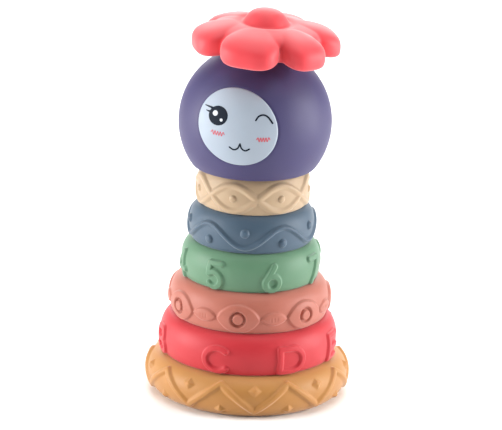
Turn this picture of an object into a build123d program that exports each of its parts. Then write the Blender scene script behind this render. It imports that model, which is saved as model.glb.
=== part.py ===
from build123d import *

import os
from math import asin, degrees, sqrt

# A soft stacking tower for a baby: six nesting cup rings, a round doll head and a flower hat.
#
# Every ring is a shallow cup that stands mouth down. Its top carries a low collar round a
# finger hole, and the open mouth of the next ring drops over that collar, so the pieces centre
# themselves and lift off freely. The head stands on the last collar in the same way, and the
# hat plugs into the top of the head with a short peg. Millimetres, +Z up, the floor is z = 0,
# the tower's axis is Z and the face looks towards -Y.

# Rings, from the floor up: name, largest radius, height from foot to seat.
RINGS = (
    ("base_ring", 48.0, 19.4),
    ("red_ring", 41.8, 19.3),
    ("pink_ring", 38.0, 18.6),
    ("green_ring", 33.0, 17.9),
    ("blue_ring", 29.7, 17.7),
    ("cream_ring", 26.6, 17.5),
)
FOOT_INSET = 0.02  # share of the radius by which a ring draws in at its foot
BASE_FOOT_INSET = 0.15  # the same for the base, which is rounder
BELLY = 0.40  # share of the height at which a ring is widest
SHOULDER_START = 0.64  # share of the height where the shoulder begins
SHOULDER_INSET = 0.022  # share of the radius lost between belly and shoulder
FOOT_WALL = 4.0  # width of the foot that stands on the ring below
BASE_FOOT_WALL = 4.6
PLATE = 3.5  # thickness of the seat that closes a ring's top
SEAT_LAP = 1.1  # how far the next ring's foot reaches past the flat of the seat
COLLAR_HEIGHT = 6.0
COLLAR_WALL = 3.0
FIT_GAP = 0.5  # radial play between a collar and the mouth that drops over it
SOFT_EDGE = 1.0  # radius on collar and mouth edges
FOOT_EDGE = 0.8

# Head: a hollow ball cut flat where it stands and where the hat sits.
HEAD_RADIUS = 35.9
HEAD_FOOT_DROP = 21.6  # from the ball's centre down to its foot
HEAD_WALL = 3.5
HEAD_MOUTH = 18.0  # radius of the hole that drops over the top collar
HEAD_SLEEVE_RADIUS = 20.8  # outside of the sleeve behind that hole
HEAD_SLEEVE = 8.5  # height of the sleeve
HEAD_FOOT_ROUND = 3.0
HAT_SEAT_RADIUS = 9.0  # the flat on top
PEG_RADIUS = 6.0
PEG_LENGTH = 10.0
PEG_GAP = 0.3
SOCKET_DEPTH = 11.0
SOCKET_WALL = 2.8

# Face: an oval inlay, flush with the ball.
FACE_LONG = 19.5  # half lengths of the oval
FACE_SHORT = 17.4
FACE_LEAN = 154.0  # degrees from level to its long axis, anticlockwise as seen from in front
FACE_LIFT = 9.3  # degrees that the face looks up
FACE_DEPTH = 1.4

# Hat: round petals about a domed button.
PETALS = 6
PETAL_TURN = 31.0  # degrees from +X to the first petal
PETAL_RADIUS = 11.6
PETAL_REACH = 23.9  # from the axis to a petal's centre
PETAL_THICK = 13.0
PETAL_ROUND = 6.0
PETAL_DROOP = 9.0  # degrees
PETAL_DROP = 1.6  # how far a petal's middle hangs below the middle of the core
CORE_RADIUS = 16.0
CORE_THICK = 12.8
CORE_ROUND = 3.0
BUTTON_RADIUS = 10.4
HAT_HEIGHT = 19.4  # from the seat to the top of the button
HAT_OFFSET = (3.6, 1.0)  # the flower sits this far off its peg


def foot_radius(index):
    """Radius of a ring's outer edge where it stands."""
    inset = BASE_FOOT_INSET if index == 0 else FOOT_INSET
    return RINGS[index][1] * (1 - inset)


def mouth_radius(index):
    """Inner radius of a ring's open underside. Past the last ring it is the head's mouth."""
    if index == len(RINGS):
        return HEAD_MOUTH
    return foot_radius(index) - (BASE_FOOT_WALL if index == 0 else FOOT_WALL)


def seat_radius(index):
    """Where the flat seat ends and the shoulder begins to fall."""
    if index + 1 == len(RINGS):
        return RINGS[index][1] * 0.83
    return foot_radius(index + 1) - SEAT_LAP


def ring(index, foot):
    """One cup ring whose foot stands at height foot."""
    name, radius, height = RINGS[index]
    mouth = mouth_radius(index)
    seat = foot + height
    collar = mouth_radius(index + 1) - FIT_GAP
    hole = collar - COLLAR_WALL
    shoulder = (radius * (1 - SHOULDER_INSET), foot + height * SHOULDER_START)
    with BuildPart() as part:
        with BuildSketch(Plane.XZ):
            with BuildLine():
                edge = (foot_radius(index), foot)
                belly = ThreePointArc(edge, (radius, foot + height * BELLY), shoulder)
                fall = TangentArc(shoulder, (seat_radius(index), seat), tangent=belly % 1)
                Polyline(
                    fall @ 1,
                    (collar, seat),
                    (collar, seat + COLLAR_HEIGHT),
                    (hole, seat + COLLAR_HEIGHT),
                    (hole, seat - PLATE),
                    (mouth, seat - PLATE),
                    (mouth, foot),
                    edge,
                )
            make_face()
        revolve(axis=Axis.Z)
        circles = part.edges().filter_by(GeomType.CIRCLE)
        fillet(circles.group_by(Axis.Z)[-1], SOFT_EDGE)
        circles = part.edges().filter_by(GeomType.CIRCLE)
        outer_foot = circles.group_by(Axis.Z)[0].sort_by(SortBy.RADIUS)[-1]
        fillet(outer_foot, FOOT_EDGE)
    part.part.label = name
    return part.part


def face_column(centre):
    """The oval column, reaching out past the ball, that the face is cut from."""
    level = Plane((0, 0, centre), x_dir=(1, 0, 0), z_dir=(0, -1, 0))
    with BuildPart() as part:
        with BuildSketch(level.rotated((-FACE_LIFT, 0, 0))):
            Ellipse(FACE_LONG, FACE_SHORT, rotation=FACE_LEAN)
        extrude(amount=HEAD_RADIUS + HEAD_WALL)
        with Locations((0, 0, centre)):
            Sphere(HEAD_RADIUS - FACE_DEPTH, mode=Mode.SUBTRACT)
    return part.part


def face_inlay(centre):
    """The white inlay: the column trimmed to the ball's surface."""
    column = face_column(centre)
    with BuildPart() as part:
        add(column)
        with Locations((0, 0, centre)):
            Sphere(HEAD_RADIUS, mode=Mode.INTERSECT)
    part.part.label = "face_inlay"
    return part.part


def cut_ball(centre, radius, low, high):
    """A ball about the axis, cut flat at heights low and high."""
    bottom = sqrt(radius**2 - (centre - low) ** 2)
    top = sqrt(radius**2 - (high - centre) ** 2)
    with BuildPart() as part:
        with BuildSketch(Plane.XZ):
            with BuildLine():
                ThreePointArc((bottom, low), (radius, centre), (top, high))
                Polyline((top, high), (0, high), (0, low), (bottom, low))
            make_face()
        revolve(axis=Axis.Z)
    return part.part


def head_shell(centre, foot, seat):
    """The hollow ball with its mouth below, the hat's socket above and the face's pocket."""
    floor = foot + HEAD_WALL
    ceiling = seat - HEAD_WALL
    ball = cut_ball(centre, HEAD_RADIUS, foot, seat)
    cavity = cut_ball(centre, HEAD_RADIUS - HEAD_WALL, floor, ceiling)
    pocket = face_column(centre)
    with BuildPart() as part:
        add(ball)
        circles = part.edges().filter_by(GeomType.CIRCLE).group_by(Axis.Z)
        fillet(circles[0], HEAD_FOOT_ROUND)
        fillet(part.edges().filter_by(GeomType.CIRCLE).group_by(Axis.Z)[-1], SOFT_EDGE)
        add(cavity, mode=Mode.SUBTRACT)
        with BuildSketch(Plane.XY.offset(floor)):
            Circle(HEAD_SLEEVE_RADIUS)
        extrude(amount=HEAD_SLEEVE - HEAD_WALL)
        with BuildSketch(Plane.XY.offset(ceiling)):
            Circle(PEG_RADIUS + PEG_GAP + SOCKET_WALL)
        extrude(amount=HEAD_WALL - SOCKET_DEPTH)
        with BuildSketch(Plane.XY.offset(foot)):
            Circle(HEAD_MOUTH)
        extrude(amount=HEAD_SLEEVE, mode=Mode.SUBTRACT)
        with BuildSketch(Plane.XY.offset(seat)):
            Circle(PEG_RADIUS + PEG_GAP)
        extrude(amount=-SOCKET_DEPTH, mode=Mode.SUBTRACT)
        add(pocket, mode=Mode.SUBTRACT)
    part.part.label = "head_shell"
    return part.part


def petal():
    """One petal about the origin: a thick round pad with soft edges, its seam turned inwards."""
    with BuildPart() as part:
        Cylinder(PETAL_RADIUS, PETAL_THICK, rotation=(0, 0, 180))
        fillet(part.edges().filter_by(GeomType.CIRCLE), PETAL_ROUND)
    return part.part


def hat_peg(seat):
    """The peg under the hat, which reaches up into the core."""
    with BuildPart() as part:
        with BuildSketch(Plane.XY.offset(seat - PEG_LENGTH)):
            Circle(PEG_RADIUS)
        extrude(amount=PEG_LENGTH + CORE_THICK / 2)
        circles = part.edges().filter_by(GeomType.CIRCLE)
        fillet(circles.group_by(Axis.Z)[0], SOFT_EDGE)
    return part.part


def hat_core(seat):
    """The round core of the hat, turned in one with its button."""
    core_top = seat + CORE_THICK
    button_centre = seat + HAT_HEIGHT - BUTTON_RADIUS
    start = degrees(asin((core_top - button_centre) / BUTTON_RADIUS))
    with BuildPart() as part:
        with BuildSketch(Plane.XZ):
            with BuildLine():
                dome = CenterArc((0, button_centre), BUTTON_RADIUS, start, 90 - start)
                Polyline(
                    dome @ 1,
                    (0, seat),
                    (CORE_RADIUS, seat),
                    (CORE_RADIUS, core_top),
                    dome @ 0,
                )
            make_face()
        revolve(axis=Axis.Z)
        circles = part.edges().filter_by(GeomType.CIRCLE)
        fillet(circles.sort_by(SortBy.RADIUS)[-2:], CORE_ROUND)
    return part.part


def flower_hat(seat):
    """The core with its drooping petals and its peg."""
    core = hat_core(seat)
    pad = petal()
    peg = hat_peg(seat)
    middle = (*HAT_OFFSET, seat + CORE_THICK / 2 - PETAL_DROP)
    with BuildPart() as part:
        with Locations((*HAT_OFFSET, 0)):
            add(core)
        with Locations(middle):
            with PolarLocations(PETAL_REACH, PETALS, start_angle=PETAL_TURN):
                with Locations(Location((0, 0, 0), (0, PETAL_DROOP, 0))):
                    add(pad)
        add(peg)
    part.part.label = "flower_hat"
    return part.part


pieces = []
foot = 0.0
for index, (name, radius, height) in enumerate(RINGS):
    pieces.append(ring(index, foot))
    foot += height
ball_centre = foot + HEAD_FOOT_DROP
hat_seat = ball_centre + sqrt(HEAD_RADIUS**2 - HAT_SEAT_RADIUS**2)
pieces.append(head_shell(ball_centre, foot, hat_seat))
pieces.append(face_inlay(ball_centre))
pieces.append(flower_hat(hat_seat))

os.makedirs("parts", exist_ok=True)
for piece in pieces:
    export_step(piece, f"parts/{piece.label}.step")
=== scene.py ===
"""The looks of the stacking tower: cup rings with raised patterns, a ball head and a flower hat.

Lengths are millimetres until a mesh is made, which turns them into metres. Angles round the
tower's axis are degrees from the front, -Y, towards +X.
"""

import math

import bpy
import numpy as np
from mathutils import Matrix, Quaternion, Vector


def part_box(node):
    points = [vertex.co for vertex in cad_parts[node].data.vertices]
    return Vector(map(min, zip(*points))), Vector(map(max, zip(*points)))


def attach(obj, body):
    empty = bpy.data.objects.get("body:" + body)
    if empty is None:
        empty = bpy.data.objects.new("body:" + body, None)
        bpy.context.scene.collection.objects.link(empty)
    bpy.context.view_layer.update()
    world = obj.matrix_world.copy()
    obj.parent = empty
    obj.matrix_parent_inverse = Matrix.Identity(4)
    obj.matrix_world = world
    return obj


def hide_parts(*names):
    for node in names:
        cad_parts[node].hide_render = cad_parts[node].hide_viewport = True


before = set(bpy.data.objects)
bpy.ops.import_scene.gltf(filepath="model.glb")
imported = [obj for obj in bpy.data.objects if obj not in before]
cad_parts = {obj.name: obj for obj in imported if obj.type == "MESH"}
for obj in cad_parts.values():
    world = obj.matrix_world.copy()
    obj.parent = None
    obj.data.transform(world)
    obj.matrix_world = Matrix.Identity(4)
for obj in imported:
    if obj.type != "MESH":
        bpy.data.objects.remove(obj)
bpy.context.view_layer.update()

MM = 0.001
COLUMNS = 820  # round a ring
WALL_ROWS = 78  # up a ring's outer wall

# What every ring has, as in the frame.
COLLAR_HEIGHT = 6.0
COLLAR_WALL = 3.0
FIT_GAP = 0.5
PLATE = 3.5
FOOT_WALL = 4.0

CAMERA_TURN = 15.1  # the camera stands this far round from the front


# ---------------------------------------------------------------- small helpers


def smooth(t):
    """Soft step from 0 to 1 as t goes from 0 to 1."""
    t = np.clip(t, 0.0, 1.0)
    return t * t * (3 - 2 * t)


def ridge(distance, half_width, edge):
    """1 inside half_width of a line, falling softly to 0 over edge."""
    return smooth((half_width + edge / 2 - distance) / edge)


def fold(turn, count, start):
    """Degrees from the nearest of count evenly spaced motifs, the first at start."""
    pitch = 360.0 / count
    return (turn - start + pitch / 2) % pitch - pitch / 2


def path_distance(u, v, points):
    """Distance from each (u, v) to a path of straight runs."""
    best = np.full(np.broadcast(u, v).shape, 1e9)
    for (u0, v0), (u1, v1) in zip(points, points[1:]):
        du, dv = u1 - u0, v1 - v0
        t = np.clip(((u - u0) * du + (v - v0) * dv) / (du * du + dv * dv), 0, 1)
        best = np.minimum(best, np.hypot(u - u0 - t * du, v - v0 - t * dv))
    return best


def arc(cu, cv, ru, rv, start, end, steps=14):
    """Points on an oval arc, for a glyph's curved stroke. Angles in degrees."""
    turns = np.radians(np.linspace(start, end, steps))
    return [(cu + ru * math.cos(t), cv + rv * math.sin(t)) for t in turns]


def mesh_object(name, points, faces):
    """A smooth-shaded object from millimetre points and a list or an array of faces."""
    mesh = bpy.data.meshes.new(name)
    faces = faces.tolist() if isinstance(faces, np.ndarray) else faces
    mesh.from_pydata((np.asarray(points) * MM).tolist(), [], faces)
    mesh.polygons.foreach_set("use_smooth", np.ones(len(mesh.polygons), bool))
    mesh.update()
    item = bpy.data.objects.new(name, mesh)
    bpy.context.scene.collection.objects.link(item)
    return item


def grid_quads(columns, rows, wrap_columns=True, wrap_rows=False):
    """Faces of a grid whose point (i, j) is number i * rows + j."""
    i = np.arange(columns if wrap_columns else columns - 1)
    j = np.arange(rows if wrap_rows else rows - 1)
    i, j = np.meshgrid(i, j, indexing="ij")
    a = i * rows + j
    b = ((i + 1) % columns) * rows + j
    c = ((i + 1) % columns) * rows + (j + 1) % rows
    d = i * rows + (j + 1) % rows
    return np.stack([a, b, c, d], -1).reshape(-1, 4)


def rounded(points, radii, steps=5):
    """A path through points with each corner turned on its radius (0 keeps it sharp)."""
    out = []
    points = [np.array(p, float) for p in points]
    for k, (corner, radius) in enumerate(zip(points, radii)):
        if radius == 0:
            out.append(corner)
            continue
        back, ahead = points[k - 1] - corner, points[(k + 1) % len(points)] - corner
        back, ahead = back / np.linalg.norm(back), ahead / np.linalg.norm(ahead)
        half = math.acos(float(np.clip(back @ ahead, -1, 1))) / 2
        reach = radius / math.tan(half)
        middle = corner + (back + ahead) / np.linalg.norm(back + ahead) * radius / math.sin(half)
        first, last = corner + back * reach - middle, corner + ahead * reach - middle
        for t in np.linspace(0, 1, steps):
            spoke = first * (1 - t) + last * t
            out.append(middle + spoke / np.linalg.norm(spoke) * radius)
    return np.array(out)


def resample(points, count):
    """count points evenly spaced along a path."""
    lengths = np.concatenate([[0], np.cumsum(np.linalg.norm(np.diff(points, axis=0), axis=1))])
    at = np.linspace(0, lengths[-1], count)
    return np.stack([np.interp(at, lengths, points[:, k]) for k in (0, 1)], 1), at


# ---------------------------------------------------------------- materials


MOTTLE_SCALE = 85  # of the cloudy unevenness, in noise cells per metre
GRAIN_SCALE = 2600  # of the fine skin grain
GRAIN_DEPTH = 0.0002  # metres


def silicone(name, colour, roughness=0.54, mottle=0.05, soft=0.10, sheen=0.25, specular=0.42):
    """Soft matt silicone: a slightly uneven colour, a fine skin grain and a little glow."""
    material = bpy.data.materials.new(name)
    material.use_nodes = True
    nodes, links = material.node_tree.nodes, material.node_tree.links
    shader = nodes["Principled BSDF"]
    place = nodes.new("ShaderNodeTexCoord")

    cloud = nodes.new("ShaderNodeTexNoise")
    cloud.inputs["Scale"].default_value = MOTTLE_SCALE
    cloud.inputs["Detail"].default_value = 3
    links.new(place.outputs["Object"], cloud.inputs["Vector"])
    tint = nodes.new("ShaderNodeMix")
    tint.data_type = "RGBA"
    dark = [c * (1 - mottle) for c in colour]
    light = [min(1.0, c * (1 + mottle)) for c in colour]
    tint.inputs["A"].default_value = (*dark, 1)
    tint.inputs["B"].default_value = (*light, 1)
    links.new(cloud.outputs["Fac"], tint.inputs["Factor"])
    links.new(tint.outputs["Result"], shader.inputs["Base Color"])

    gloss = nodes.new("ShaderNodeMapRange")
    gloss.inputs["To Min"].default_value = roughness - 0.06
    gloss.inputs["To Max"].default_value = roughness + 0.08
    links.new(cloud.outputs["Fac"], gloss.inputs["Value"])
    links.new(gloss.outputs["Result"], shader.inputs["Roughness"])

    grain = nodes.new("ShaderNodeTexNoise")
    grain.inputs["Scale"].default_value = GRAIN_SCALE
    grain.inputs["Detail"].default_value = 2
    links.new(place.outputs["Object"], grain.inputs["Vector"])
    skin = nodes.new("ShaderNodeBump")
    skin.inputs["Strength"].default_value = 0.12
    skin.inputs["Distance"].default_value = GRAIN_DEPTH
    links.new(grain.outputs["Fac"], skin.inputs["Height"])
    links.new(skin.outputs["Normal"], shader.inputs["Normal"])

    shader.inputs["Subsurface Weight"].default_value = soft
    shader.inputs["Subsurface Radius"].default_value = (1.0, 0.5, 0.35)
    shader.inputs["Subsurface Scale"].default_value = 0.004
    shader.inputs["Specular IOR Level"].default_value = specular
    shader.inputs["Sheen Weight"].default_value = sheen
    shader.inputs["Sheen Roughness"].default_value = 0.5
    return material


COLOURS = {
    "base_orange": (0.425, 0.188, 0.040),
    "ring_red": (0.485, 0.011, 0.020),
    "ring_pink": (0.400, 0.116, 0.076),
    "ring_green": (0.093, 0.210, 0.117),
    "ring_blue": (0.045, 0.083, 0.127),
    "ring_cream": (0.425, 0.298, 0.180),
    "head_purple": (0.046, 0.038, 0.118),
    "face_white": (0.35, 0.405, 0.475),
    "hat_coral": (0.70, 0.040, 0.052),
}
SHEENS = {"head_purple": 0.02, "face_white": 0.0, "hat_coral": 0.3}
materials = {
    slot: silicone(slot, colour, sheen=SHEENS.get(slot, 0.25)) for slot, colour in COLOURS.items()
}


# ---------------------------------------------------------------- glyphs

# Each glyph is a list of strokes in units of its height, about its middle and from its foot.
BAR_LEFT = -0.40
GLYPHS = {
    "A": [[(-0.46, 0), (0, 1), (0.46, 0)], [(-0.28, 0.34), (0.28, 0.34)]],
    "B": [
        [(BAR_LEFT, 0), (BAR_LEFT, 1)],
        [(BAR_LEFT, 1)] + arc(0.08, 0.76, 0.24, 0.24, 90, -90) + [(BAR_LEFT, 0.52)],
        [(BAR_LEFT, 0.52)] + arc(0.12, 0.26, 0.28, 0.26, 90, -90) + [(BAR_LEFT, 0)],
    ],
    "C": [arc(0.06, 0.5, 0.57, 0.5, 50, 310, 24)],
    "D": [
        [(-0.52, 0), (-0.52, 1)],
        [(-0.52, 1)] + arc(0.02, 0.5, 0.54, 0.5, 90, -90, 20) + [(-0.52, 0)],
    ],
    "E": [
        [(0.42, 1), (BAR_LEFT, 1), (BAR_LEFT, 0), (0.42, 0)],
        [(BAR_LEFT, 0.5), (0.32, 0.5)],
    ],
    "F": [[(0.42, 1), (BAR_LEFT, 1), (BAR_LEFT, 0)], [(BAR_LEFT, 0.5), (0.30, 0.5)]],
    "G": [arc(0, 0.5, 0.5, 0.5, 50, 350, 26) + [(0.5, 0.46), (0.12, 0.46)]],
    "1": [[(-0.20, 0.76), (0.06, 1), (0.06, 0)]],
    "2": [arc(0, 0.71, 0.29, 0.29, 165, -35) + [(-0.30, 0), (0.32, 0)]],
    "3": [arc(-0.02, 0.76, 0.25, 0.24, 150, -80), arc(-0.02, 0.27, 0.30, 0.27, 80, -150)],
    "4": [[(0.12, 0), (0.12, 1), (-0.34, 0.30), (0.32, 0.30)]],
    "5": [[(0.30, 1), (-0.20, 1), (-0.25, 0.54)] + arc(-0.01, 0.32, 0.31, 0.32, 125, -140, 18)],
    "6": [arc(0, 0.30, 0.29, 0.30, 0, 360, 24), [(0.10, 1), (-0.26, 0.42)]],
    "7": [[(-0.32, 1), (0.32, 1), (-0.08, 0)]],
    "8": [arc(0, 0.76, 0.23, 0.24, 0, 360, 20), arc(0, 0.27, 0.28, 0.27, 0, 360, 22)],
}


def glyph_relief(text, turns, size, foot, half_width):
    """Raised glyphs round a wall, each at its own turn."""

    def relief(wall, turn, run):
        total = np.zeros(np.broadcast(turn, run).shape)
        base = wall["run_at"](foot)
        for letter, middle in zip(text, turns):
            away = (turn - middle + 180) % 360 - 180
            near = np.abs(away[:, 0]) < math.degrees(size / wall["radius"])
            u = np.radians(away[near]) * wall["radius"]
            distance = np.min(
                [
                    path_distance(u, run, [(x * size, base + y * size) for x, y in stroke])
                    for stroke in GLYPHS[letter]
                ],
                axis=0,
            )
            total[near] = np.maximum(total[near], ridge(distance, half_width, 1.1))
        return total

    return relief


# ---------------------------------------------------------------- raised patterns


STUD_HEIGHTS = (14.0, 4.4)  # of the upper and the lower studs' middles
DOT_HEIGHTS = (10.0, 4.9)
DOT_RADIUS = 2.15
LENS_DOT_RADIUS = 1.7
EYE_GROOVE = 3.05  # radius of the ring groove
VEIN_PITCH = 1.5  # of the small leaf pads' grooves


def zigzag_relief(count, top_turn, low, high, half_width):
    """A zigzag rib with a diamond stud in each of its bays, above and below."""

    def relief(wall, turn, run):
        bay = math.radians(360 / count) * wall["radius"]
        u = np.radians(fold(turn, count, top_turn)) * wall["radius"]
        bottom, top = wall["run_at"](low), wall["run_at"](high)
        zigzag = [(-bay, top), (-bay / 2, bottom), (0, top), (bay / 2, bottom), (bay, top)]
        rib = ridge(path_distance(u, run, zigzag), half_width, 1.7)
        beside = np.radians(fold(turn, count, top_turn + 180 / count)) * wall["radius"]
        upper = np.abs(beside) / 3.5 + np.abs(run - wall["run_at"](STUD_HEIGHTS[0])) / 2.9
        lower = np.abs(u) / 3.3 + np.abs(run - wall["run_at"](STUD_HEIGHTS[1])) / 2.5
        studs = np.clip((1 - np.minimum(upper, lower)) / 0.75, 0, 1)
        return np.maximum(rib, studs)

    return relief


def wave_relief(count, low_turn, low, high, half_width):
    """A wave rib with a domed dot over each dip and under each crest."""

    def relief(wall, turn, run):
        angle = np.radians(count * (turn - low_turn))
        bottom, top = wall["run_at"](low), wall["run_at"](high)
        middle, swing = (bottom + top) / 2, (top - bottom) / 2
        slope = swing * count * np.sin(angle) / wall["radius"]
        distance = np.abs(run - middle + swing * np.cos(angle)) / np.hypot(1, slope)
        rib = ridge(distance, half_width, 1.4)
        over = np.radians(fold(turn, count, low_turn)) * wall["radius"]
        under = np.radians(fold(turn, count, low_turn + 180 / count)) * wall["radius"]
        upper = np.hypot(over, run - wall["run_at"](DOT_HEIGHTS[0]))
        lower = np.hypot(under, run - wall["run_at"](DOT_HEIGHTS[1]))
        dome = np.sqrt(np.clip(1 - (np.minimum(upper, lower) / DOT_RADIUS) ** 2, 0, 1))
        return np.maximum(rib, 1.15 * dome)

    return relief


def lens_relief(count, centre_turn, middle, swing, half_width):
    """Two broad waves that cross between lens-shaped bays, each with a dot in its middle."""

    def relief(wall, turn, run):
        angle = np.radians(count / 2 * (turn - centre_turn))
        level = wall["run_at"](middle)
        reach = (wall["run_at"](middle + swing) - wall["run_at"](middle - swing)) / 2
        slope = reach * count / 2 * np.sin(angle) / wall["radius"]
        distance = np.minimum(
            np.abs(run - level - reach * np.cos(angle)),
            np.abs(run - level + reach * np.cos(angle)),
        ) / np.hypot(1, slope)
        rib = ridge(distance, half_width, 1.9)
        u = np.radians(fold(turn, count, centre_turn)) * wall["radius"]
        dome = np.sqrt(np.clip(1 - (np.hypot(u, run - level) / LENS_DOT_RADIUS) ** 2, 0, 1))
        return np.maximum(rib, 1.1 * dome)

    return relief


def leaf(u, v, half_long, half_high):
    """Signed distance, about, to a leaf shape pointed at both ends. Negative is inside."""
    radius = (half_long**2 + half_high**2) / (2 * half_high)
    return np.hypot(u, np.abs(v) + radius - half_high) - radius


def eye_relief(count, eye_turn, level, half_high):
    """A chain of big leaf pads, each with a ring groove and a button, and small leaf pads."""

    def relief(wall, turn, run):
        u = np.radians(fold(turn, count, eye_turn)) * wall["radius"]
        w = np.radians(fold(turn, count, eye_turn + 180 / count)) * wall["radius"]
        v = run - wall["run_at"](level)
        big = leaf(u, v, 10.6, half_high)
        small = leaf(w, v, 6.8, 3.3)
        pad = smooth(-big / 1.3 + 0.2) * (0.85 + 0.30 * smooth(-big / 6.0))
        groove = ridge(np.abs(np.hypot(u, v) - EYE_GROOVE), 0.55, 0.8)
        pad = pad - 1.25 * groove
        from_vein = np.abs((w + VEIN_PITCH / 2) % VEIN_PITCH - VEIN_PITCH / 2)
        veins = ridge(from_vein, 0.15, 0.7) * ridge(np.abs(w), 2.0, 0.6)
        veins = veins * ridge(np.abs(v), 1.0, 0.9)
        pip = smooth(-small / 1.1 + 0.2) * (0.75 + 0.2 * smooth(-small / 3.0)) - 0.22 * veins
        return np.where(smooth(-small / 1.1 + 0.2) > 0, np.maximum(pip, pad), pad)

    return relief


# ---------------------------------------------------------------- rings

# node, body, slot, height share of the belly, foot share of the radius, inset, relief, its height
RINGS = [
    ("base_ring", "base", "base_orange", 0.51, 0.85, 0.6,
     zigzag_relief(9, 0.0, 4.0, 16.2, 1.35), 1.3),
    ("red_ring", "red", "ring_red", 0.46, 0.945, 0.0,
     glyph_relief("ABCDEFG", (-109, -59, -5.4, 44.6, 86.5, 133, 184), 11.0, 1.9, 1.35), 1.2),
    ("pink_ring", "pink", "ring_pink", 0.46, 0.945, 0.5,
     eye_relief(7, 7.6, 7.4, 7.0), 1.25),
    ("green_ring", "green", "ring_green", 0.46, 0.945, 0.2,
     glyph_relief("12345678", (166, -149, -103, -58, -15.5, 33.5, 79, 123), 11.4, 1.5, 1.35), 1.15),
    ("blue_ring", "blue", "ring_blue", 0.46, 0.945, 0.3,
     wave_relief(5, 9.1, 2.9, 12.2, 0.95), 1.15),
    ("cream_ring", "cream", "ring_cream", 0.46, 0.945, 0.4,
     lens_relief(7, -5.5, 7.7, 6.1, 1.2), 0.95),
]
HEAD_MOUTH = 18.0
BASE_MOUTH = 36.2
FOOT_SHARE = 0.98  # of a ring's radius, where the frame's ring stands
SEAT_LAP = 2.2


def node_size(node):
    """Radius, foot height and top height of a round CAD node."""
    low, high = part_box(node)
    return high.x / MM, low.z / MM, high.z / MM


def outer_wall(radius, foot_radius, foot, seat, seat_radius, belly):
    """The outer wall as a path from the foot up over the belly and shoulder to the seat."""
    height = seat - foot
    widest = foot + belly * height
    power = 2.0 if foot_radius < 0.9 * radius else 2.3
    turns = np.linspace(-math.pi / 2, 0, 60)
    low_r = foot_radius + (radius - foot_radius) * np.abs(np.cos(turns)) ** (2 / power)
    low_z = widest + (widest - foot) * np.sin(turns)
    turns = np.linspace(0, math.pi / 2, 90)[1:]
    high_r = seat_radius + (radius - seat_radius) * np.cos(turns) ** (2 / 1.95)
    high_z = widest + (seat - widest) * np.sin(turns) ** (2 / 1.95)
    return np.stack([np.append(low_r, high_r), np.append(low_z, high_z)], 1)


def ring_piece(index):
    """One cup ring: a closed turned shape whose outer wall carries its raised pattern."""
    node, body, slot, belly, foot_share, inset, relief, relief_height = RINGS[index]
    radius, foot, top = node_size(node)
    seat = top - COLLAR_HEIGHT
    radius -= inset
    foot_radius = radius * foot_share
    if index + 1 < len(RINGS):
        next_foot = node_size(RINGS[index + 1][0])[0] * FOOT_SHARE
        next_mouth = next_foot - FOOT_WALL
        seat_radius = next_foot - SEAT_LAP
    else:
        next_mouth = HEAD_MOUTH
        seat_radius = radius * 0.82
    mouth = BASE_MOUTH if index == 0 else node_size(node)[0] * FOOT_SHARE - FOOT_WALL
    collar = next_mouth - FIT_GAP
    hole = collar - COLLAR_WALL

    wall = outer_wall(radius, foot_radius, foot, seat, seat_radius, belly)
    wall, run = resample(wall, WALL_ROWS)

    def run_at(height):
        """How far up the wall's path a height over the ring's foot lies."""
        return float(np.interp(foot + height, wall[:, 1], run))

    inner = rounded(
        [
            wall[-1],
            (collar, seat),
            (collar, top),
            (hole, top),
            (hole, seat - PLATE),
            (mouth, seat - PLATE),
            (mouth, foot),
            wall[0],
        ],
        [0, 0.6, 1.2, 1.2, 0.8, 1.0, 0.9, 0],
    )[1:-1]
    profile = np.concatenate([wall, inner])
    tangent = np.gradient(wall, axis=0)
    tangent /= np.linalg.norm(tangent, axis=1)[:, None]
    normal = np.stack([tangent[:, 1], -tangent[:, 0]], 1)

    turn = np.linspace(0, 360, COLUMNS, endpoint=False)[:, None]
    shape = {"radius": radius, "run_at": run_at}
    lift = relief(shape, turn, run[None, :]) * relief_height
    lift = lift * smooth(run / 1.0) * smooth((run[-1] - run) / 2.0)
    r = np.tile(profile[:, 0], (COLUMNS, 1))
    z = np.tile(profile[:, 1], (COLUMNS, 1))
    r[:, :WALL_ROWS] += lift * normal[:, 0]
    z[:, :WALL_ROWS] += lift * normal[:, 1]
    angle = np.radians(turn)
    points = np.stack([r * np.sin(angle), -r * np.cos(angle), z], -1).reshape(-1, 3)
    quads = grid_quads(COLUMNS, profile.shape[0], wrap_rows=True)
    piece = mesh_object(node.replace("_ring", "_cup"), points, quads)
    piece.data.materials.append(materials[slot])
    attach(piece, body)
    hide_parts(node)
    return piece


for index in range(len(RINGS)):
    ring_piece(index)


# ---------------------------------------------------------------- head

HEAD_RADIUS = 35.9
HEAD_FOOT_DROP = 21.6  # from the ball's centre down to the foot
HEAD_WALL = 3.5
HEAD_SLEEVE_RADIUS = 20.8
HEAD_SLEEVE = 8.5
HEAD_FOOT_ROUND = 3.0
PEG_RADIUS = 6.0
PEG_GAP = 0.3
SOCKET_DEPTH = 11.0
SOCKET_WALL = 2.8

FACE_LONG = 19.5
FACE_SHORT = 17.4
FACE_LEAN = 154.0
FACE_LIFT = 9.3
FACE_RAISE = 0.10  # how far the plate stands proud of the ball
FACE_DEPTH = 1.2
PRINT_RAISE = 0.05
PRINT_SINK = 0.05  # how far a printed spot's underside lies below the plate's surface

head_low, head_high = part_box("head_shell")
HEAD_FOOT = head_low.z / MM
HAT_SEAT = head_high.z / MM
HEAD_CENTRE = HEAD_FOOT + HEAD_FOOT_DROP
FACE_X = np.array([1.0, 0.0, 0.0])
FACE_Y = np.array([0.0, math.sin(math.radians(FACE_LIFT)), math.cos(math.radians(FACE_LIFT))])
FACE_OUT = np.array([0.0, -math.cos(math.radians(FACE_LIFT)), math.sin(math.radians(FACE_LIFT))])


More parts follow.
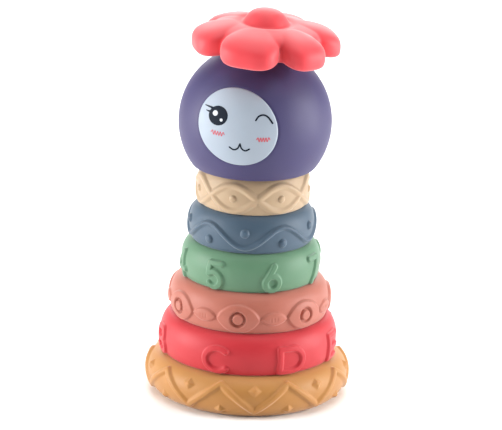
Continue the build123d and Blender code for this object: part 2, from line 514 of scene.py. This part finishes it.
def face_edge_distance(x, y):
    """How far outside the face's oval a point in the face's own plane lies, in mm."""
    lean = math.radians(FACE_LEAN)
    along = (x * math.cos(lean) + y * math.sin(lean)) / FACE_LONG
    across = (y * math.cos(lean) - x * math.sin(lean)) / FACE_SHORT
    share = np.hypot(along, across)
    slope = np.hypot(along / FACE_LONG, across / FACE_SHORT) / np.maximum(share, 1e-9)
    return (share - 1) / np.maximum(slope, 1e-9)


def on_ball(x, y, radius):
    """The point on a ball about the head's centre that lies over (x, y) in the face's plane."""
    x, y, radius = np.broadcast_arrays(x, y, radius)
    out = np.sqrt(radius**2 - x**2 - y**2)
    centre = np.array([0.0, 0.0, HEAD_CENTRE])
    return centre + x[..., None] * FACE_X + y[..., None] * FACE_Y + out[..., None] * FACE_OUT


def spread(stops):
    """Values from the first stop to the last, with each stretch's own spacing."""
    out = [stops[0][0]]
    for (start, _), (end, step) in zip(stops, stops[1:]):
        count = max(1, round(abs(end - start) / step))
        out.extend(np.linspace(start, end, count + 1)[1:])
    return np.array(out)


def head_piece():
    """The hollow ball: turned, with a shallow bed for the face pressed into its front."""
    top_turn = math.degrees(math.asin((HAT_SEAT - HEAD_CENTRE) / HEAD_RADIUS))
    foot_turn = math.degrees(math.asin((HEAD_FOOT - HEAD_CENTRE) / HEAD_RADIUS))
    lifts = np.radians(spread([(foot_turn + 6, 0), (-29, 1.5), (43, 0.45), (top_turn - 2, 1.6)]))
    skin = np.stack([HEAD_RADIUS * np.cos(lifts), HEAD_CENTRE + HEAD_RADIUS * np.sin(lifts)], 1)
    ball_foot = math.sqrt(HEAD_RADIUS**2 - (HEAD_CENTRE - HEAD_FOOT) ** 2)
    hat_flat = math.sqrt(HEAD_RADIUS**2 - (HAT_SEAT - HEAD_CENTRE) ** 2)
    foot_round = rounded(
        [(HEAD_MOUTH + 2, HEAD_FOOT), (ball_foot, HEAD_FOOT), tuple(skin[0])],
        [0, HEAD_FOOT_ROUND, 0],
        9,
    )[1:-1]
    socket = PEG_RADIUS + PEG_GAP
    floor = HEAD_FOOT + HEAD_WALL
    hollow = HEAD_RADIUS - HEAD_WALL
    low_turn = math.asin((floor - HEAD_CENTRE) / hollow)
    high_turn = math.acos((socket + SOCKET_WALL) / hollow)
    turns = np.linspace(high_turn, low_turn, 26)
    cavity = np.stack([hollow * np.cos(turns), HEAD_CENTRE + hollow * np.sin(turns)], 1)
    upper = rounded(
        [
            skin[-1],
            (hat_flat, HAT_SEAT),
            (socket, HAT_SEAT),
            (socket, HAT_SEAT - SOCKET_DEPTH),
            (socket + SOCKET_WALL, HAT_SEAT - SOCKET_DEPTH),
            cavity[0],
        ],
        [0, 0.8, 0.6, 0.5, 0.5, 0],
    )[1:-1]
    lower = rounded(
        [
            cavity[-1],
            (HEAD_SLEEVE_RADIUS, floor),
            (HEAD_SLEEVE_RADIUS, HEAD_FOOT + HEAD_SLEEVE),
            (HEAD_MOUTH, HEAD_FOOT + HEAD_SLEEVE),
            (HEAD_MOUTH, HEAD_FOOT),
            foot_round[0],
        ],
        [0, 0.5, 0.8, 0.8, 0.8, 0],
    )[1:-1]
    profile = np.concatenate([foot_round, skin, upper, cavity, lower])
    turn = np.radians(spread([(-180, 0), (-43, 2.0), (43, 0.45), (180, 2.0)])[:-1])[:, None]
    x = profile[:, 0] * np.sin(turn)
    y = -profile[:, 0] * np.cos(turn)
    z = np.broadcast_to(profile[:, 1], x.shape)
    points = np.stack([x, y, z], -1)
    first, last = len(foot_round), len(foot_round) + len(skin)
    outer = points[:, first:last]
    spoke = outer - np.array([0.0, 0.0, HEAD_CENTRE])
    away = face_edge_distance(spoke @ FACE_X, spoke @ FACE_Y)
    away = np.where(spoke @ FACE_OUT > 0, away, 99.0)
    press = 0.22 * smooth((1.1 - away) / 1.1) + (FACE_DEPTH + 0.3) * smooth((0.1 - away) / 0.7)
    outer -= spoke / HEAD_RADIUS * press[..., None]
    quads = grid_quads(len(turn), len(profile), wrap_rows=True)
    piece = mesh_object("head_ball", points.reshape(-1, 3), quads)
    piece.data.materials.append(materials["head_purple"])
    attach(piece, "head")
    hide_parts("head_shell")


def disc_points(half_long, half_short, lean, centre, shares, radii, columns):
    """Rings of an oval about a centre, each ring a share of its size, laid on balls of radii."""
    turns = np.radians(np.linspace(0, 360, columns, endpoint=False))[:, None]
    along = half_long * np.cos(turns) * shares
    across = half_short * np.sin(turns) * shares
    lean = math.radians(lean)
    x = centre[0] + along * math.cos(lean) - across * math.sin(lean)
    y = centre[1] + along * math.sin(lean) + across * math.cos(lean)
    return on_ball(x, y, np.broadcast_to(radii, x.shape))


def disc_piece(name, material, half_long, half_short, lean, centre, shares, radii, columns=96):
    """A closed oval plate: rings from its front's middle round its edge to its back's middle."""
    rings = disc_points(half_long, half_short, lean, centre, shares[1:-1], radii[1:-1], columns)
    rows = rings.shape[1]
    front = on_ball(np.array(centre[0]), np.array(centre[1]), np.array(radii[0]))
    back = on_ball(np.array(centre[0]), np.array(centre[1]), np.array(radii[-1]))
    points = np.concatenate([rings.reshape(-1, 3), [front, back]])
    faces = grid_quads(columns, rows)[:, ::-1].tolist()
    hub = columns * rows
    for k in range(columns):
        ahead = (k + 1) % columns
        faces.append([hub, k * rows, ahead * rows])
        faces.append([hub + 1, ahead * rows + rows - 1, k * rows + rows - 1])
    item = mesh_object(name, points, faces)
    item.data.materials.append(material)
    return item


def face_plate():
    """The white oval plate with a softly turned edge."""
    turns = np.radians(np.linspace(0, 90, 7))
    edge = 0.55
    flat = np.linspace(0, 1 - edge / FACE_SHORT, 26)
    curl = 1 - edge / FACE_SHORT * (1 - np.sin(turns[1:]))
    radius = HEAD_RADIUS + FACE_RAISE
    shares = np.concatenate([flat, curl, [1, 0.97, 0.5, 0]])
    curl_falls = edge * (1 - np.cos(turns[1:]))
    falls = np.concatenate([0 * flat, curl_falls, [0.8, FACE_DEPTH, FACE_DEPTH, FACE_DEPTH]])
    piece = disc_piece(
        "face_plate", materials["face_white"], FACE_LONG, FACE_SHORT, FACE_LEAN, (0, 0),
        shares, radius - falls, 160,
    )
    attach(piece, "head")
    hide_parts("face_inlay")


# ---------------------------------------------------------------- the printed face


def ink(name, colour):
    """Printing ink: flat and matt, with a faint unevenness."""
    return silicone(name, colour, 0.66, mottle=0.10, soft=0.0, sheen=0.0, specular=0.12)


def smooth_path(points, steps=10):
    """A smooth curve through a few points."""
    points = np.array(points, float)
    padded = np.concatenate([[2 * points[0] - points[1]], points, [2 * points[-1] - points[-2]]])
    out = []
    for k in range(len(points) - 1):
        a, b, c, d = padded[k : k + 4]
        t = np.linspace(0, 1, steps, endpoint=False)[:, None]
        out.append(
            0.5 * (2 * b + (c - a) * t + (2 * a - 5 * b + 4 * c - d) * t**2
                   + (3 * b - a - 3 * c + d) * t**3)
        )
    return np.concatenate(out + [points[-1:]])


def stroke_mesh(path, half_width, tip_share=1.0):
    """Points and faces of a printed stroke with round ends, thinning to tip_share at its end."""
    tangent = np.gradient(path, axis=0)
    tangent /= np.linalg.norm(tangent, axis=1)[:, None]
    caps = np.sin(np.radians([90, 60, 30]))
    start = path[0] - tangent[0] * half_width * caps[:, None]
    end = path[-1] + tangent[-1] * half_width * tip_share * caps[::-1, None]
    line = np.concatenate([start, path, end])
    side = np.concatenate([np.repeat(tangent[:1], 3, 0), tangent, np.repeat(tangent[-1:], 3, 0)])
    side = np.stack([-side[:, 1], side[:, 0]], 1)
    taper = np.linspace(1, tip_share, len(path))
    round_off = np.sqrt(1 - np.minimum(caps, 0.98) ** 2)
    widths = np.concatenate([round_off, taper, tip_share * round_off[::-1]]) * half_width
    across = np.array([-1.0, -1.0, -0.5, 0.0, 0.5, 1.0, 1.0])
    rises = np.array([-0.06, 1.0, 1.0, 1.0, 1.0, 1.0, -0.06])
    flat = line[:, None, :] + side[:, None, :] * (widths[:, None] * across)[..., None]
    radii = HEAD_RADIUS + FACE_RAISE + PRINT_RAISE * rises
    points = on_ball(flat[..., 0], flat[..., 1], np.broadcast_to(radii, flat.shape[:2]))
    faces = grid_quads(len(line), len(across), wrap_columns=False, wrap_rows=True).tolist()
    start_cap = list(range(len(across)))
    end_cap = [len(line) * len(across) - 1 - k for k in start_cap]
    return points.reshape(-1, 3), faces + [start_cap, end_cap]


def printed(name, material, strokes):
    """One piece made of several printed strokes: (path, half width, tip share)."""
    points, faces, count = [], [], 0
    for stroke in strokes:
        p, q = stroke_mesh(*stroke)
        points.append(p)
        faces += [[n + count for n in face] for face in q]
        count += len(p)
    piece = mesh_object(name, np.concatenate(points), faces)
    piece.data.materials.append(material)
    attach(piece, "head")


def printed_dot(name, material, centre, half_long, half_short, rise):
    """A printed oval spot."""
    shares = np.array([0, 0.25, 0.5, 0.75, 0.93, 1.0, 1.0, 0.9, 0])
    falls = np.array([0, 0, 0, 0, 0, 0.02, 0.5, 0.5, 0.5])
    radii = HEAD_RADIUS + FACE_RAISE + rise - np.minimum(falls, rise + PRINT_SINK)
    piece = disc_piece(name, material, half_long, half_short, 0, centre, shares, radii, 64)
    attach(piece, "head")


def scribble(start, end, height, peaks):
    """A zigzag of peaks from start to end."""
    start, end = np.array(start), np.array(end)
    share = np.linspace(0, 1, 2 * peaks + 1)[:, None]
    points = start + (end - start) * share
    points[1::2, 1] += height / 2
    points[2:-1:2, 1] -= height / 2
    return smooth_path(points, 6)


def printed_face():
    """An open eye with lashes and glints, a wink, blushes and a cat's smile."""
    black = ink("ink_black", (0.009, 0.014, 0.024))
    white = ink("ink_white", (0.62, 0.66, 0.72))
    red = ink("ink_blush", (0.55, 0.10, 0.12))
    printed_dot("print_eye", black, (-8.7, 4.5), 4.85, 4.5, PRINT_RAISE)
    printed_dot("print_glint_big", white, (-10.2, 5.5), 1.3, 1.25, 2 * PRINT_RAISE)
    printed_dot("print_glint_small", white, (-6.9, 2.7), 0.75, 0.7, 2 * PRINT_RAISE)
    lash_high = smooth_path([(-11.6, 7.6), (-13.8, 8.1), (-15.9, 8.5)])
    lash_low = smooth_path([(-12.7, 6.0), (-13.9, 6.0), (-15.1, 6.3)])
    wink = smooth_path([(9.3, 4.1), (10.4, 6.0), (12.4, 6.8), (14.5, 5.9), (16.6, 3.3)])
    smile_left = smooth_path([(-2.2, -9.4), (-0.2, -10.4), (1.7, -9.6), (2.8, -7.4)])
    smile_right = smooth_path([(2.8, -7.4), (3.6, -9.6), (5.3, -10.4), (7.1, -9.5)])
    printed("print_lashes", black, [(lash_high, 0.55, 0.35), (lash_low, 0.5, 0.35)])
    printed("print_wink", black, [(wink, 0.38, 1.0)])
    printed("print_smile", black, [(smile_left, 0.36, 1.0), (smile_right, 0.36, 1.0)])
    printed("print_blush_left", red, [(scribble((-11.6, -3.3), (-4.9, -3.9), 1.9, 5), 0.19, 1.0)])
    printed("print_blush_right", red, [(scribble((10.3, -4.8), (16.0, -4.4), 1.9, 5), 0.19, 1.0)])


head_piece()
face_plate()
printed_face()


# ---------------------------------------------------------------- flower hat

# Degrees from +X to a petal, its half width, and how far out its middle is.
PETALS = (
    (29, 13.2, 21.6),
    (90, 13.4, 21.6),
    (149, 12.8, 19.2),
    (209, 13.2, 21.2),
    (268.5, 14.0, 21.6),
    (325.5, 10.8, 21.9),
)
PETAL_LONG = 13.4  # half length, outwards
PETAL_THICK = 6.7  # half thickness
PETAL_NECK = 0.62  # share of a petal's width that is left at its inner end
PETAL_BEND = 0.0042  # droop, which grows with the square of the distance out
PETAL_MIDDLE = 7.5  # height of a petal's middle over the seat, at the axis
HAT_OFFSET = (3.6, 1.0)  # the flower sits this far off its peg
HAT_LEAN = 0.045  # and leans this much towards +X
CORE_RADIUS = 16.0
CORE_HALF = 6.0  # half thickness
WEB_RADIUS = 26.0  # as far out as the petals run together
BUTTON_RADIUS = 10.4
BUTTON_HALF = 9.4  # half thickness
HAT_HEIGHT = 19.4
PEG_LENGTH = 10.0
PEG_HALF = 8.0  # half its whole length, with the part inside the core
VOXEL = 0.5
MOAT_DEPTH = 1.1  # of the soft groove round the button


def power(value, exponent):
    """A power that keeps the sign."""
    return np.sign(value) * np.abs(value) ** exponent


def pad_points(long, wide, thick, square, plump, columns=56, rows=28):
    """A puffy pad: square over 2 flattens its outline, plump over 2 its top."""
    a = np.radians(np.linspace(0, 360, columns, endpoint=False))[:, None]
    b = np.radians(np.linspace(-88, 88, rows))[None, :]
    x = long * power(np.cos(a), 2 / square) * np.cos(b) ** (2 / plump)
    y = wide * power(np.sin(a), 2 / square) * np.cos(b) ** (2 / plump)
    z = thick * power(np.sin(b), 2 / plump) + 0 * a
    return np.stack([x, y, z], -1)


def closed_grid(points):
    """Points and faces of a closed pad, with a cap at each pole."""
    columns, rows = points.shape[:2]
    flat = points.reshape(-1, 3)
    caps = [points[:, 0].mean(0), points[:, -1].mean(0)]
    faces = [list(q) for q in grid_quads(columns, rows)]
    hub = columns * rows
    for k in range(columns):
        ahead = (k + 1) % columns
        faces.append([hub, ahead * rows, k * rows])
        faces.append([hub + 1, k * rows + rows - 1, ahead * rows + rows - 1])
    return np.concatenate([flat, caps]), faces


def petal_points(turn, wide, reach):
    """One petal: a squarish pad, narrower towards the middle, that droops outwards."""
    points = pad_points(PETAL_LONG, wide, PETAL_THICK, square=3.0, plump=3.0)
    points[..., 0] += reach
    points[..., 1] *= PETAL_NECK + (1 - PETAL_NECK) * smooth((points[..., 0] - 6) / 20)
    out = np.hypot(points[..., 0], points[..., 1])
    points[..., 2] += HAT_SEAT + PETAL_MIDDLE - PETAL_BEND * out**2
    turn = math.radians(turn)
    x = points[..., 0] * math.cos(turn) - points[..., 1] * math.sin(turn)
    y = points[..., 0] * math.sin(turn) + points[..., 1] * math.cos(turn)
    return np.stack([x, y, points[..., 2]], -1)


def hat_piece():
    """The flower: petals, core, button and peg run together into one soft shape."""
    core = pad_points(CORE_RADIUS, CORE_RADIUS, CORE_HALF, square=2.0, plump=4.0)
    core[..., 2] += HAT_SEAT + CORE_HALF
    web = pad_points(WEB_RADIUS, WEB_RADIUS, PETAL_THICK - 0.3, square=2.0, plump=5.0)
    web[..., 2] += HAT_SEAT + PETAL_MIDDLE - PETAL_BEND * (web[..., 0] ** 2 + web[..., 1] ** 2)
    button_foot = BUTTON_RADIUS + 1.2
    button = pad_points(button_foot, button_foot, BUTTON_HALF, square=2.0, plump=2.2)
    button[..., 2] += HAT_SEAT + HAT_HEIGHT - BUTTON_HALF - 0.2
    peg = pad_points(PEG_RADIUS, PEG_RADIUS, PEG_HALF, square=2.0, plump=9.0)
    peg[..., 2] += HAT_SEAT - PEG_LENGTH + PEG_HALF
    pads = [core, web, button]
    pads += [petal_points(*petal) for petal in PETALS]
    for pad in pads:
        pad[..., 2] -= HAT_LEAN * pad[..., 0]
        pad[..., :2] += HAT_OFFSET
    pads.append(peg)
    points, faces, count = [], [], 0
    for pad in pads:
        p, f = closed_grid(pad)
        points.append(p)
        faces += [[n + count for n in face] for face in f]
        count += len(p)
    flower = mesh_object("flower", np.concatenate(points), faces)
    union = flower.modifiers.new("union", "REMESH")
    union.mode = "VOXEL"
    union.voxel_size = VOXEL * MM
    melt = flower.modifiers.new("melt", "SMOOTH")
    melt.factor = 0.5
    melt.iterations = 9
    graph = bpy.context.evaluated_depsgraph_get()
    final = bpy.data.meshes.new_from_object(flower.evaluated_get(graph))
    flower.modifiers.clear()
    flower.data = final
    points = np.empty(3 * len(final.vertices))
    final.vertices.foreach_get("co", points)
    points = points.reshape(-1, 3) / MM
    out = np.hypot(points[:, 0] - HAT_OFFSET[0], points[:, 1] - HAT_OFFSET[1])
    moat = np.exp(-(((out - BUTTON_RADIUS - 0.6) / 2.6) ** 2))
    points[:, 2] -= MOAT_DEPTH * moat * smooth((points[:, 2] - HAT_SEAT - 5) / 4)
    final.vertices.foreach_set("co", (points * MM).ravel())
    final.polygons.foreach_set("use_smooth", np.ones(len(final.polygons), bool))
    final.materials.clear()
    final.materials.append(materials["hat_coral"])
    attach(flower, "hat")
    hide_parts("flower_hat")


hat_piece()


# ---------------------------------------------------------------- camera, light, floor

CAMERA_LIFT = 17.3
CAMERA_ROLL = 1.9
CAMERA_DISTANCE = 1.743
CAMERA_TARGET = Vector((0.0, 0.0, 0.0860))
CAMERA_SHIFT = (-0.0005, -0.0005)  # sideways and up
SENSOR = 36.0
FRAME_WIDTH = 0.2364  # what the picture's width spans at the target


def add_camera():
    data = bpy.data.cameras.new("camera")
    data.sensor_width = SENSOR
    data.lens = SENSOR * CAMERA_DISTANCE / FRAME_WIDTH
    data.clip_end = 200
    camera = bpy.data.objects.new("camera", data)
    bpy.context.scene.collection.objects.link(camera)
    turn, lift = math.radians(CAMERA_TURN), math.radians(CAMERA_LIFT)
    back = Vector(
        (math.sin(turn) * math.cos(lift), -math.cos(turn) * math.cos(lift), math.sin(lift))
    )
    aim = (-back).to_track_quat("-Z", "Y")
    camera.rotation_mode = "QUATERNION"
    camera.rotation_quaternion = aim @ Quaternion((0, 0, 1), math.radians(CAMERA_ROLL))
    camera.location = CAMERA_TARGET + back * CAMERA_DISTANCE
    side = camera.rotation_quaternion @ Vector((1, 0, 0))
    camera.location += side * CAMERA_SHIFT[0] + Vector((0, 0, CAMERA_SHIFT[1]))
    bpy.context.scene.camera = camera


def add_softbox(name, turn, lift, distance, size, power):
    """A square area light that looks at the tower. Turn is from the front, like the camera's."""
    data = bpy.data.lights.new(name, "AREA")
    data.size = size
    data.energy = power
    light = bpy.data.objects.new(name, data)
    bpy.context.scene.collection.objects.link(light)
    a, e = math.radians(turn), math.radians(lift)
    back = Vector((math.sin(a) * math.cos(e), -math.cos(a) * math.cos(e), math.sin(e)))
    light.location = Vector((0, 0, 0.1)) + back * distance
    light.rotation_mode = "QUATERNION"
    light.rotation_quaternion = (-back).to_track_quat("-Z", "Y")


def add_overhead(strength):
    """A broad even light from above that keeps the floor white."""
    data = bpy.data.lights.new("overhead", "SUN")
    data.energy = strength
    data.angle = math.radians(60)
    light = bpy.data.objects.new("overhead", data)
    bpy.context.scene.collection.objects.link(light)
    light.location = (0, 0, 2)


def add_world(strength):
    world = bpy.data.worlds.new("studio")
    world.use_nodes = True
    sky = world.node_tree.nodes["Background"]
    sky.inputs["Color"].default_value = (1, 1, 1, 1)
    sky.inputs["Strength"].default_value = strength
    bpy.context.scene.world = world


def add_floor():
    bpy.ops.mesh.primitive_plane_add(size=120)
    floor = bpy.context.object
    floor.name = "floor"
    paper = bpy.data.materials.new("floor_paper")
    paper.use_nodes = True
    shader = paper.node_tree.nodes["Principled BSDF"]
    shader.inputs["Base Color"].default_value = (0.93, 0.93, 0.93, 1)
    shader.inputs["Roughness"].default_value = 0.9
    shader.inputs["Specular IOR Level"].default_value = 0.1
    floor.data.materials.append(paper)


add_camera()
add_world(strength=0.15)
add_softbox("left", turn=CAMERA_TURN - 82, lift=8, distance=1.1, size=0.6, power=17)
add_softbox("right", turn=CAMERA_TURN + 86, lift=12, distance=1.1, size=0.6, power=16)
add_softbox("back", turn=CAMERA_TURN + 180, lift=26, distance=1.2, size=1.1, power=14)
add_overhead(strength=2.3)
add_floor()
bpy.context.scene.view_settings.view_transform = "Standard"
